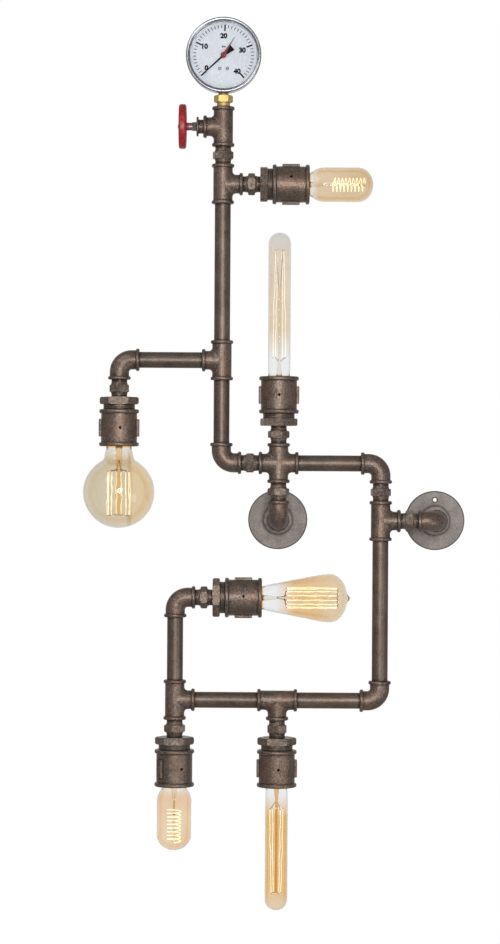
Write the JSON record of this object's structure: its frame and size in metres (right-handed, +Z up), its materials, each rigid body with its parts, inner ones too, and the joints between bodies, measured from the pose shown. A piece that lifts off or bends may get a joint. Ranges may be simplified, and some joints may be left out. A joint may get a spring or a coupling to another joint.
{
  "type": "industrial pipe wall light",
  "caption": "Wall light built from branching gas pipe and fittings, with filament bulbs in beaded pipe sockets, a dial pressure gauge at the top and a red valve handwheel.",
  "frame": {"origin": "centre of the left wall rose's back face, on the wall", "axes": "+X to the right and +Z up as seen from the room, +Y into the wall"},
  "size_m": [0.5124, 0.1126, 1.1851],
  "materials": {
    "pipework": "satin, aged bronze brown",
    "plain_steel": "dull",
    "bright_steel": "polished",
    "brass": "satin",
    "red_paint": "gloss",
    "black_paint": "matte",
    "dial_white": "matte",
    "porcelain": "glazed",
    "cable": "matte",
    "clear_glass": "clear",
    "amber_glass": "clear, light amber",
    "filament": "glowing wire"
  },
  "bodies": {
    "frame": {"tee_valve": "pipework", "tee_top_lamp": "pipework", "tee_left_arm": "pipework", "tee_right_wall": "pipework", "tee_bottom_middle": "pipework", "tee_bottom_left": "pipework", "cross_centre": "pipework", "elbow_left_arm": "pipework", "elbow_centre_left": "pipework", "elbow_right_top": "pipework", "elbow_right_bottom": "pipework", "elbow_bottom_left": "pipework", "elbow_wall_left": "pipework", "elbow_wall_right": "pipework", "riser_pipe": "pipework", "drop_pipe": "pipework", "short_pipes": "pipework", "hex_nipples": "pipework", "reducing_bushes": "pipework", "wall_rose_left": "pipework", "wall_rose_right": "pipework", "lamp_couplings": "pipework", "valve_plug": "pipework", "valve_gland_nut": "plain_steel", "coupling_set_screws": "plain_steel", "lampholder_insulators": "porcelain", "lampholder_shells": "brass", "wiring_harness": "cable", "gauge_case": "bright_steel", "gauge_bezel": "bright_steel", "gauge_window": "clear_glass", "gauge_dial": "dial_white", "gauge_stem": "brass", "gauge_bourdon_tube": "brass", "gauge_movement_frame": "brass"},
    "pointer": {"gauge_pointer": "black_paint", "gauge_pinion": "brass"},
    "sector": {"gauge_sector_gear": "brass"},
    "set_hand": {"gauge_set_hand": "red_paint"},
    "valve_wheel": {"valve_handwheel": "red_paint", "valve_spindle": "plain_steel", "valve_wheel_nut": "red_paint"},
    "bulb_top_tubular": {"bulb_top_tubular_glass": "amber_glass", "bulb_top_tubular_cap": "brass", "bulb_top_tubular_filament": "filament"},
    "bulb_globe": {"bulb_globe_glass": "amber_glass", "bulb_globe_cap": "brass", "bulb_globe_filament": "filament"},
    "bulb_long_slim": {"bulb_long_slim_glass": "clear_glass", "bulb_long_slim_cap": "brass", "bulb_long_slim_filament": "filament"},
    "bulb_teardrop": {"bulb_teardrop_glass": "amber_glass", "bulb_teardrop_cap": "brass", "bulb_teardrop_filament": "filament"},
    "bulb_lower_tubular": {"bulb_lower_tubular_glass": "amber_glass", "bulb_lower_tubular_cap": "brass", "bulb_lower_tubular_filament": "filament"},
    "bulb_short_slim": {"bulb_short_slim_glass": "amber_glass", "bulb_short_slim_cap": "brass", "bulb_short_slim_filament": "filament"}
  },
  "joints": [
    {"name": "pointer_turn", "type": "hinge", "parent": "frame", "child": "pointer", "pos_m": [-0.0762, -0.065, 0.6166], "axis": [0, 1, 0], "range_deg": [0, 270]},
    {"name": "sector_turn", "type": "hinge", "parent": "frame", "child": "sector", "pos_m": [-0.0672, -0.065, 0.59874], "axis": [0, 1, 0], "range_deg": [-30, 0]},
    {"name": "set_hand_turn", "type": "hinge", "parent": "frame", "child": "set_hand", "pos_m": [-0.0762, -0.065, 0.6166], "axis": [0, 1, 0], "range_deg": [-163.5, 106.5]},
    {"name": "valve_wheel_turn", "type": "hinge", "parent": "frame", "child": "valve_wheel", "pos_m": [-0.1028, -0.065, 0.5231], "axis": [-1, 0, 0], "continuous": true},
    {"name": "bulb_top_tubular_slide", "type": "slide", "parent": "frame", "child": "bulb_top_tubular", "axis": [1, 0, 0], "range_m": [0, 0.0274]},
    {"name": "bulb_globe_slide", "type": "slide", "parent": "frame", "child": "bulb_globe", "axis": [0, 0, -1], "range_m": [0, 0.0274]},
    {"name": "bulb_long_slim_slide", "type": "slide", "parent": "frame", "child": "bulb_long_slim", "axis": [0, 0, 1], "range_m": [0, 0.0274]},
    {"name": "bulb_teardrop_slide", "type": "slide", "parent": "frame", "child": "bulb_teardrop", "axis": [1, 0, 0], "range_m": [0, 0.0274]},
    {"name": "bulb_lower_tubular_slide", "type": "slide", "parent": "frame", "child": "bulb_lower_tubular", "axis": [0, 0, -1], "range_m": [0, 0.0274]},
    {"name": "bulb_short_slim_slide", "type": "slide", "parent": "frame", "child": "bulb_short_slim", "axis": [0, 0, -1], "range_m": [0, 0.0274]}
  ],
  "couplings": [
    {"joint": "sector_turn", "follows": "pointer_turn", "ratio": -0.11111}
  ]
}
